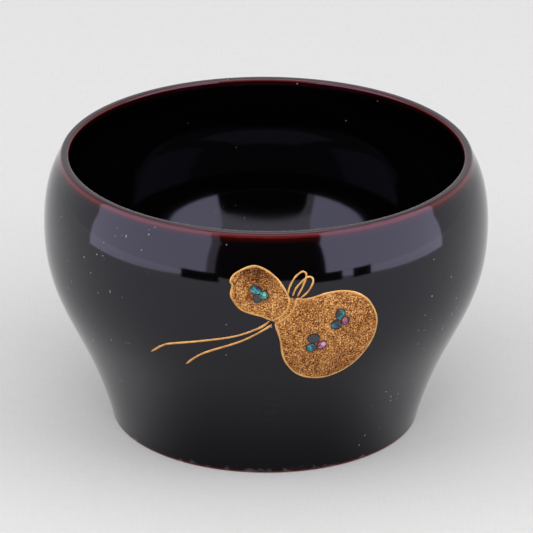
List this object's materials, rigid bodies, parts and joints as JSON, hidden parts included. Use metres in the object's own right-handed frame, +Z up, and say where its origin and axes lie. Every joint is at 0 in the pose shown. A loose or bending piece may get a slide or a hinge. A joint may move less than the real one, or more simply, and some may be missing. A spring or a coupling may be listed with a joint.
{
  "type": "lacquered serving bowl",
  "caption": "Turned wooden serving bowl in near-black lacquer with a red edge, and a gourd in gold powder, gold line and shell on its wall.",
  "frame": {"origin": "middle of the foot, on the surface the bowl stands on", "axes": "+Z up along the turning axis, the front with the gourd faces -Y"},
  "size_m": [0.186, 0.1865, 0.1173],
  "materials": {
    "turned_wood": "sealed, unpolished, covered by lacquer",
    "dark_lacquer": "deep gloss, near black over red",
    "base_lacquer": "gloss, lightly worn",
    "raised_gold": "burnished, slightly granular",
    "gold_powder": "sprinkled powder, granular and dull",
    "shell_teal": "iridescent shell, teal",
    "shell_green": "iridescent shell, green",
    "shell_blue": "iridescent shell, dark blue",
    "shell_rose": "iridescent shell, rose"
  },
  "bodies": {
    "root": {"wood_core": "turned_wood", "lacquer_base_coat": "base_lacquer", "lacquer_outer_coat": "dark_lacquer", "lacquer_inner_coat": "dark_lacquer", "waist_cord_upper": "raised_gold", "waist_cord_lower": "raised_gold", "small_bulb_outline": "raised_gold", "large_bulb_outline": "raised_gold", "cord_bow": "raised_gold", "cord_tail_upper": "raised_gold", "cord_tail_lower": "raised_gold", "gourd_vein": "raised_gold", "gourd_small_bulb": "gold_powder", "gourd_large_bulb": "gold_powder", "gourd_waist": "gold_powder", "shell_chip_1": "shell_teal", "shell_chip_2": "shell_green", "shell_chip_3": "shell_blue", "shell_chip_4": "shell_teal", "shell_chip_5": "shell_rose", "shell_chip_6": "shell_blue", "shell_chip_7": "shell_teal", "shell_chip_8": "shell_blue", "shell_chip_9": "shell_rose"}
  },
  "joints": []
}
